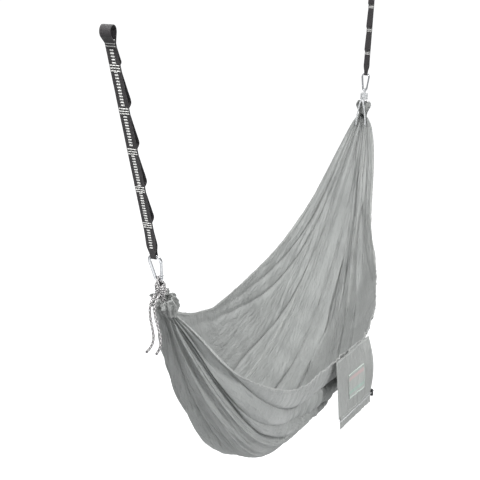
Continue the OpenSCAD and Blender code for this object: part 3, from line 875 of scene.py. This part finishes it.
def tail_paths(end):
    """Two loose tails, each leaving the knot and hanging down beside the channel."""
    t = np.linspace(0, 1, 90)
    start = joint_at(end.name + "_tails_swing")
    if end is HEAD:
        x = -18 * MM * np.sin(pi / 2 * np.minimum(1, 7 * t))
        sway = 6 * MM * np.sin(radians(330) * t)
        ys = (9 * MM + sway + 22 * MM * t**5, -12 * MM * t - 1 * MM + sway + 17 * MM * t**5)
        drop = 150 * MM
    else:
        x = -24 * MM * np.sin(pi / 2 * np.minimum(1, 8 * t))
        y = 5 * MM + 16 * MM * np.sin(radians(80) * t)
        ys = (y, -y)
        drop = 111 * MM
    return [start + np.stack([x, y, -drop * t], -1) for y in ys]


KNOT_GIRTH = {HEAD: 10.8 * MM, FOOT: 13.5 * MM}


def make_cords(end):
    """The loop, the stopper knot and the two sealed tails of one end."""
    looks = [CORD_WHITE, CORD_BLACK] if end is HEAD else [CORD_PALE, CORD_GREY]
    loop = Piece(end.name + "_cord_loop")
    braid(loop, end.place(gather_cord_path()))
    loop.build(looks, "sling", [end.name + "_gather_cord"])
    knot = Piece(end.name + "_knot")
    braid(knot, end.place(knot_path(KNOT_GIRTH[end])))
    knot.build(looks, "sling", [end.name + "_cord_knot"])
    tails = Piece(end.name + "_tails_braid")
    for path in tail_paths(end):
        braid(tails, path)
        tip = path[-1]
        seal = np.stack([tip, tip - [0, 0, 1.5 * MM], tip - [0, 0, 3.5 * MM]])
        seal_r = np.array([3.5, 3.7, 1.8]) * MM
        tails.sweep(seal, Y_AXIS, seal_r, seal_r, 12, 2)
    tails.build(looks + [CORD_BLACK if end is HEAD else CORD_GREY], end.name + "_tails",
                [end.name + "_cord_tails"])


# ------------------------ straps

WEB_W, WEB_T = 25 * MM, 1.6 * MM

# Heights of the tacks and of the anchor eye above the strap's pivot
LOOP_PITCH, LOOP_COUNT = 100 * MM, 5
TURN_R = BAR_R + 1.6 * MM + WEB_T / 2
LAYER_X = WEB_T / 2 + 0.1 * MM
FIRST_TACK = LOOP_PITCH - TURN_R
EYE_TACK = FIRST_TACK + (LOOP_COUNT - 1) * LOOP_PITCH + 55 * MM
EYE_Z = EYE_TACK + 25 * MM
EYE_R = 12.5 * MM
DASH_PITCH, TACK_STEP = 7 * MM, 6.2 * MM
TACKS = [FIRST_TACK + i * LOOP_PITCH for i in range(LOOP_COUNT)] + [EYE_TACK]


def flat(points):
    """[x, z] points as a path in a strap's own frame."""
    points = np.asarray(points, float)
    return np.stack([points[:, 0], 0 * points[:, 0], points[:, 1]], -1)


def web_half_width(z):
    """Half the webbing's width at a height: it draws in where it passes through the ring."""
    return lerp(7 * MM, WEB_W / 2, smooth(6 * MM, 36 * MM, z))


def main_band_path():
    """From the first tack down round the ring, up the strap and round the anchor eye."""
    turn = np.linspace(0, pi, 25)
    under = np.stack([TURN_R * np.cos(turn), -TURN_R * np.sin(turn)], -1)
    mid_r = EYE_R + WEB_T / 2
    eye = np.radians(np.linspace(210, -30, 49))
    ring = np.stack([mid_r * np.cos(eye), EYE_Z + mid_r * np.sin(eye)], -1)
    lower = np.linspace(FIRST_TACK - 8 * MM, 0, 12)
    lower_x = lerp(LAYER_X, TURN_R, smooth(0, 1, np.linspace(0, 1, 12)) ** 0.8)
    rise = np.linspace(0, EYE_TACK, 230)
    rise_x = -lerp(TURN_R, LAYER_X, smooth(0, FIRST_TACK - 8 * MM, rise))
    return flat(
        np.concatenate([
            [[LAYER_X, FIRST_TACK + 8 * MM]],
            np.stack([lower_x, lower], -1)[:-1],
            under,
            np.stack([rise_x, rise], -1)[1:],
            ring,
            [[LAYER_X, EYE_TACK], [LAYER_X, EYE_TACK - 8 * MM]],
        ])
    )


def loop_band_path():
    """The daisy-chain layer: it rises steeply above each tack and falls back to the next."""
    points = []
    for low, high in zip(TACKS[:-1], TACKS[1:]):
        t = np.linspace(0, 1, 40)
        size = (high - low - 18 * MM) / (LOOP_PITCH - 18 * MM)
        x = LAYER_X + size * 16 * MM * (1 - t) * (1 - np.exp(-t / 0.035))
        points.append(np.stack([x, lerp(low + 7 * MM, high - 9 * MM, t)], -1))
    return flat(np.concatenate(points))


def facing_of(path):
    """Each point's direction square to a strap path, in the strap's own frame."""
    tangent = unit(np.gradient(path, axis=0))
    return np.stack([-tangent[:, 2], 0 * tangent[:, 0], tangent[:, 0]], -1)


def make_band(piece, end, path):
    """Webbing swept along a strap path, with slightly uneven edges."""
    lifted = path + [0, 0, end.swing_up]
    half = web_half_width(path[:, 2]) + 0.15 * MM * noise(path[:, 2] * 300, 0 * path[:, 2], 9)
    piece.sweep(end.place(lifted), end.turn(facing_of(path)), half, WEB_T / 2, 20, square=0.35)


def cross_bar(piece, end, x, z, facing, half_wide, half_tall, slot=0):
    """A flat bar of thread lying across the webbing."""
    y = np.array([-1, -0.94, -0.5, 0, 0.5, 0.94, 1]) * half_wide
    path = np.stack([0 * y + x, y, 0 * y + z + end.swing_up], -1)
    tall = half_tall * np.array([0.5, 1, 1, 1, 1, 1, 0.5])
    piece.sweep(end.place(path), end.turn([facing, 0, 0]), tall, 0.45 * MM, 8, slot)


def zigzag(piece, end, x, z, facing):
    """The dense zig-zag stitching that covers one bar of a tack."""
    count = 34
    y = np.linspace(-10.5, 10.5, count) * MM
    path = np.stack([np.full(count, x), y, z + np.where(np.arange(count) % 2, 1.3, -1.3) * MM], -1)
    piece.sweep(end.place(path + [0, 0, end.swing_up]), end.turn([facing, 0, 0]), 0.42 * MM, 0.4 * MM, 5)


def make_dashes(piece, end):
    """The white dashes woven down the middle of both faces of the main band."""
    for z in np.arange(TACKS[0] - 64 * MM, TACKS[-1] + 12 * MM, DASH_PITCH):
        if min(abs(z - tack) for tack in TACKS) > 9 * MM:
            lean = lerp(TURN_R, LAYER_X, float(smooth(0, FIRST_TACK - 8 * MM, z)))
            for face in (-1, 1):
                cross_bar(piece, end, -lean + face * WEB_T / 2, z, face, 4 * MM, 1.8 * MM, 1)


def make_strap(end):
    """The webbing with its dashes, the daisy-chain loops and the bar tacks of one strap."""
    body = end.name + "_strap"
    web = Piece(end.name + "_webbing")
    make_band(web, end, main_band_path())
    make_dashes(web, end)
    web.build([STRAP, WHITE_THREAD], body, [body + "_webbing"])
    loops = Piece(end.name + "_daisy_loops")
    make_band(loops, end, loop_band_path())
    loops.build(STRAP, body, [body + "_loops"])
    tacks = Piece(end.name + "_tacking")
    surface = LAYER_X + WEB_T / 2
    for z in TACKS:
        for step in (-TACK_STEP, 0, TACK_STEP):
            for face in (-1, 1):
                cross_bar(tacks, end, face * surface, z + step, face, 10.8 * MM, 1.2 * MM)
                zigzag(tacks, end, face * surface + face * 0.4 * MM, z + step, face)
    tacks.build(WHITE_THREAD, body, [body + "_bar_tacks"])


# ------------------------ the storage pouch

POUCH_W, POUCH_H = 240 * MM, 268 * MM
TAB_H = 9.3 * MM
POUCH_X = -np.array(JOINTS["pouch_flap"]["axis"], float)
LOCK_UP = -np.array(JOINTS["cord_lock_press"]["axis"], float)
POUCH_Z = LOCK_UP / np.linalg.norm(LOCK_UP)
POUCH_Y = np.cross(POUCH_Z, POUCH_X)
POUCH_TOP = joint_at("pouch_flap") - TAB_H * POUCH_Z
MOUTH_Z = 34 * MM - POUCH_H

# How far the pouch's right edge curls out from the sling, in millimetres
POUCH_CURL = 13


def on_pouch(points):
    """Points given from the middle of the pouch's top edge."""
    p = np.asarray(points, float)
    return POUCH_TOP + p[..., :1] * POUCH_X + p[..., 1:2] * POUCH_Y + p[..., 2:] * POUCH_Z


def pouch_turn(directions):
    return on_pouch(directions) - POUCH_TOP


def pouch_edges(share):
    """Left and right edges of the hanging bag at a share of its height, from the top."""
    left = -POUCH_W / 2 + 3 * MM * np.sin(pi * share)
    right = POUCH_W / 2 - 1 * MM + 7 * MM * np.sin(pi * np.minimum(share * 1.1, 1))
    return left, right


def pouch_face(across, share, outer):
    """A point of the bag's front or back cloth, in the pouch's own frame."""
    left, right = pouch_edges(share)
    x = lerp(left, right, across)
    edge = 4 * across * (1 - across)
    belly = edge**0.45 * np.sin(pi * np.clip(0.10 + 0.86 * share, 0, 1)) ** 0.7
    folds = 2.6 * ridges(9 * across + 0.7 * share, 1.4 * share, 21 + outer)
    folds = folds + 1.4 * ridges(24 * across - 1.5 * share, 2.6 * share, 23 + outer)
    folds = folds + 0.7 * noise(60 * across, 9 * share, 25 + outer)
    sag = 2.5 * np.sin(pi * across) * share + 1.2 * noise(7 * across, 0 * share, 29)
    if outer:
        y = -2.4 - (3.6 * belly) + folds * 0.8 * edge**0.4
    else:
        y = -1.9 + 1.2 * belly + folds * 0.45 * edge**0.4
    y = y - POUCH_CURL * np.sin(pi * np.clip(share / 0.86, 0, 1)) * across**3
    z = -share * POUCH_H * (1 - 0.012 * np.sin(pi * across)) - sag * MM * 0.5
    return np.stack([x, y * MM, z], -1)


def pouch_uv(across, share):
    return np.stack([share * POUCH_H, across * POUCH_W], -1)


def pouch_seam(piece, across, share):
    """Stitches along a line of the bag's front cloth."""
    line = pouch_face(across, share, 1) - [0, 0.6 * MM, 0]
    stitches(piece, on_pouch(line), pouch_turn([0, -1, 0]), 4 * MM, 3 * MM)


def pouch_sheet(name, node, outer):
    """The bag's front or back cloth down to its mouth band; the front has its side and top seams."""
    share, across = rows_by_columns(np.linspace(0, 0.835, 110), np.linspace(0, 1, 120))
    points = pouch_face(across, share, outer)
    piece = Piece(name)
    piece.grid(on_pouch(points), pouch_uv(across, share), flip=bool(outer))
    if outer:
        pouch_seam(piece, np.full(60, 0.03), np.linspace(0.02, 0.83, 60))
        pouch_seam(piece, np.full(60, 0.97), np.linspace(0.02, 0.83, 60))
        pouch_seam(piece, np.linspace(0.02, 0.98, 60), np.full(60, 0.02))
    return piece.build([POUCH_CLOTH, SEAM_THREAD], "pouch", [node], solid=0.7 * MM)


def pouch_hem():
    """The mouth's hem: a doubled band round the drawcord's channel, gathered a little."""
    piece = Piece("pouch_mouth_band")
    share, across = rows_by_columns(np.linspace(0.825, 1.0, 26), np.linspace(0.05, 0.985, 130))
    gather = 0.9 * MM * np.sin(60 * across) * smooth(0.84, 0.88, share)
    channel = 0.9 * MM * np.exp(-(((share - 0.873) / 0.022) ** 2))
    for outer in (0, 1):
        points = pouch_face(across, share, outer)
        out = -1 if outer else 1
        puff = out * (0.5 * MM + channel + gather * 0.6)
        points = points + np.stack([0 * puff, puff, 0 * puff], -1)
        piece.grid(on_pouch(points), pouch_uv(across, share), flip=bool(outer))
        for at in (0.84, 0.905):
            line = pouch_face(np.linspace(0.06, 0.97, 80), np.full(80, at), outer)
            line = line + [0, out * 1.4 * MM, 0]
            stitches(piece, on_pouch(line), pouch_turn([0, out, 0]), 4 * MM, 3 * MM)
    looks = [POUCH_CLOTH, SEAM_THREAD]
    return piece.build(looks, "pouch", ["pouch_mouth_hem"], solid=0.8 * MM)


def pouch_patch():
    """A plain woven patch held by a satin-stitched border."""
    half = np.array([PATCH_HALF_W, 1, PATCH_HALF_H])
    centre = np.array([PATCH_X, 0, PATCH_LOW + PATCH_HALF_H])
    piece = Piece("pouch_patch")
    columns = np.linspace(PATCH_X - PATCH_HALF_W, PATCH_X + PATCH_HALF_W, 60)
    z, x = rows_by_columns(np.linspace(PATCH_LOW, PATCH_HIGH, 60), columns)

    def on_face(x, z, lift):
        share = -z / POUCH_H
        left, right = pouch_edges(share)
        face = pouch_face((x - left) / (right - left), share, 1)
        return np.stack([x, face[..., 1] - lift, z], -1)

    piece.grid(on_pouch(on_face(x, z, 0.9 * MM)), np.stack([x, z], -1))
    corners = np.array([(-1, 0, -1), (1, 0, -1), (1, 0, 1), (-1, 0, 1), (-1, 0, -1)], float)
    border = evenly(centre + corners * half, 1.1 * MM)
    swing = np.where(np.arange(len(border)) % 2, 1.9, -1.9) * MM
    outward = np.sign(np.round((border - centre) / half, 3).astype(int))
    zig = border + outward * swing[:, None]
    piece.sweep(on_pouch(on_face(zig[:, 0], zig[:, 2], 1.8 * MM)), pouch_turn([0, -1, 0]),
                0.6 * MM, 0.5 * MM, 5, 1)
    return piece.build([PATCH, BORDER_THREAD], "pouch", ["pouch_label"], solid=0.6 * MM)


def pouch_tab():
    """The folded tape that hangs the pouch from the rim, with a box of stitching crossed by one diagonal.
    """
    piece = Piece("pouch_hang_tape")
    z = np.linspace(-14 * MM, TAB_H, 14)
    path = np.stack([0 * z, 0 * z - 0.75 * MM, z], -1)
    piece.sweep(on_pouch(path), pouch_turn([0, -1, 0]), 30 * MM, 0.7 * MM, 24, 0, square=0.3)
    corners = np.array([(-26, -12), (26, -12), (26, 7), (-26, 7), (-26, -12), (26, 7)], float) * MM
    line = np.stack([corners[:, 0], 0 * corners[:, 0] - 1.7 * MM, corners[:, 1]], -1)
    stitches(piece, on_pouch(evenly(line, 2 * MM)), pouch_turn([0, -1, 0]), 3 * MM, 2 * MM, 0.4 * MM)
    return piece.build([HEM, SEAM_THREAD], "pouch", ["pouch_hang_tab"])


def pouch_cord():
    """The mouth's drawcord: both strands run through the hem and on through the cord lock."""
    strands = (-6 * MM, -2 * MM)
    gap, lock, travel, spare = 1 * MM, 12 * MM, 8 * MM, 3 * MM
    turn_x = 8 * MM - POUCH_W / 2
    end_x = POUCH_W / 2 + gap + lock + travel + spare
    mid_y = sum(strands) / 2
    angle = np.linspace(pi / 2, 3 * pi / 2, 16)
    bend = np.stack([turn_x + 2 * MM * np.cos(angle), mid_y + 2 * MM * np.sin(angle), 0 * angle], -1)
    back = np.array([[end_x, strands[1], 0.0]])
    front = np.array([[end_x, strands[0], 0.0]])
    path = np.concatenate([back, bend, front]) + [0, 0, MOUTH_Z]
    piece = Piece("pouch_draw_cord")
    braid(piece, on_pouch(path), 1.35 * MM)
    return piece.build([CORD_GREY, CORD_PALE], "pouch", ["pouch_drawcord"])


def make_lock_spring():
    """The coil under the lock's button."""
    low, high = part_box("cord_lock_spring")
    middle = np.array((low + high) / 2)
    length, coil_r, wire_r = 5.9 * MM, 2.6 * MM, 0.35 * MM
    turn = np.linspace(0, 1, 110)
    angle = tau * 4 * turn
    path = middle + pouch_turn(turned(coil_r, angle, length * (turn - 0.5)))
    piece = Piece("cord_lock_coil")
    piece.sweep(path, POUCH_Z, wire_r, wire_r, 8)
    coil = piece.build(STEEL, "cord_lock", ["cord_lock_spring"])
    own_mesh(coil)


def make_pouch():
    pouch_sheet("pouch_back_cloth", "pouch_back", 0)
    pouch_sheet("pouch_front_cloth", "pouch_front", 1)
    pouch_hem()
    pouch_patch()
    pouch_tab()
    pouch_cord()
    make_lock_spring()


# ------------------------ carried-over parts, stage


def dress(nodes, look):
    """Gives carried-over parts a material and smooth round faces."""
    for name in nodes:
        mesh = frame["nodes"][name].data
        mesh.materials.clear()
        mesh.materials.append(look)
        mesh.polygons.foreach_set("material_index", [0] * len(mesh.polygons))
        mesh.shade_smooth()
        mesh.update()


# The floor's depth below the part, its half size, and the glow that only the camera sees
FLOOR_DROP, FLOOR_REACH, FLOOR_GLOW = 0.7, 40.0, 0.80


def make_stage():
    """A pale floor well below the sling, evened out for the camera so that it reads as studio white."""
    floor_z = cad_box[0].z - FLOOR_DROP
    corners = [(x * FLOOR_REACH, y * FLOOR_REACH, floor_z) for x, y in ((-1, -1), (1, -1), (1, 1), (-1, 1))]
    look = Look("pale floor", roughness=0.9, specular=0.1, coords="Object")
    grain = look.noise(look.place, scale=3, detail=2)
    look.colour(look.blend(grain, (0.62, 0.625, 0.63), (0.65, 0.655, 0.66)))
    seen = look.node("ShaderNodeLightPath").outputs["Is Camera Ray"]
    look.feed("Emission Color", (1, 1, 1, 1))
    look.feed("Emission Strength", look.maths("MULTIPLY", seen, FLOOR_GLOW))
    mesh = bpy.data.meshes.new("studio_floor")
    mesh.from_pydata(corners, [], [(0, 1, 2, 3)])
    mesh.materials.append(look.material)
    add_object("studio_floor", mesh)


# The lamps aim this far below the middle of the line between the two ends
LAMP_AIM = 0.5


def make_light(name, at, size, power):
    """A round soft lamp, placed from the middle of the line between the two ends."""
    data = bpy.data.lights.new(name, "AREA")
    data.shape = "DISK"
    data.size = size
    data.energy = power
    lamp = add_object(name, data)
    lamp.location = Vector(MIDDLE) + Vector(at)
    aim = Vector(MIDDLE) - Vector((0, 0, LAMP_AIM))
    lamp.rotation_mode = "QUATERNION"
    lamp.rotation_quaternion = (aim - lamp.location).to_track_quat("-Z", "Y")


# Strength of the sky as it lights the part, and as the camera sees it
SKY_LIGHT, SKY_SEEN = 0.40, 0.98


def make_sky():
    """Even light from all round, which the camera sees as white."""
    world = bpy.data.worlds.new("studio")
    world.use_nodes = True
    tree = world.node_tree
    sky = tree.nodes["Background"].inputs
    sky["Color"].default_value = (0.98, 0.99, 1.0, 1)
    seen = tree.nodes.new("ShaderNodeLightPath").outputs["Is Camera Ray"]
    strength = tree.nodes.new("ShaderNodeMapRange")
    strength.inputs["To Min"].default_value = SKY_LIGHT
    strength.inputs["To Max"].default_value = SKY_SEEN
    tree.links.new(seen, strength.inputs["Value"])
    tree.links.new(strength.outputs["Result"], sky["Strength"])
    bpy.context.scene.world = world


def make_lights():
    make_sky()
    make_light("key", at=(-1.9, -2.8, 2.5), size=0.7, power=140)
    make_light("left key", at=(-2.7, 0.7, 2.9), size=0.7, power=125)
    make_light("top", at=(-0.9, -0.3, 3.4), size=1.2, power=45)
    make_light("low fill", at=(-2.8, -0.4, -1.2), size=2.0, power=10)
    bpy.context.scene.view_settings.view_transform = "Standard"


# The camera fitted to the photo: its place from the middle of the two ends, and its directions
CAMERA_AT = Vector((-2.869, -0.869, 0.901))
CAMERA_AHEAD = Vector((0.868, 0.322, -0.378))
CAMERA_RIGHT = Vector((0.348, -0.937, 0.0))
LENS, SENSOR, FAR_CLIP = 67.5, 36, 200


def make_camera():
    data = bpy.data.cameras.new("camera")
    data.sensor_width = SENSOR
    data.lens = LENS
    data.clip_end = FAR_CLIP
    camera = add_object("camera", data)
    ahead = CAMERA_AHEAD.normalized()
    right = (CAMERA_RIGHT - ahead * CAMERA_RIGHT.dot(ahead)).normalized()
    up = right.cross(ahead)
    turn = Matrix((right, up, -ahead)).transposed().to_4x4()
    camera.matrix_world = Matrix.Translation(Vector(MIDDLE) + CAMERA_AT) @ turn
    bpy.context.scene.camera = camera


make_sling()
for one_end in ENDS:
    make_channel(one_end)
    make_cords(one_end)
    make_strap(one_end)
make_pouch()
dress([n for n in frame["nodes"] if "carabiner" in n or "gate_" in n], STEEL)
dress(["cord_lock_barrel", "cord_lock_button"], PLASTIC)
make_stage()
make_lights()
make_camera()
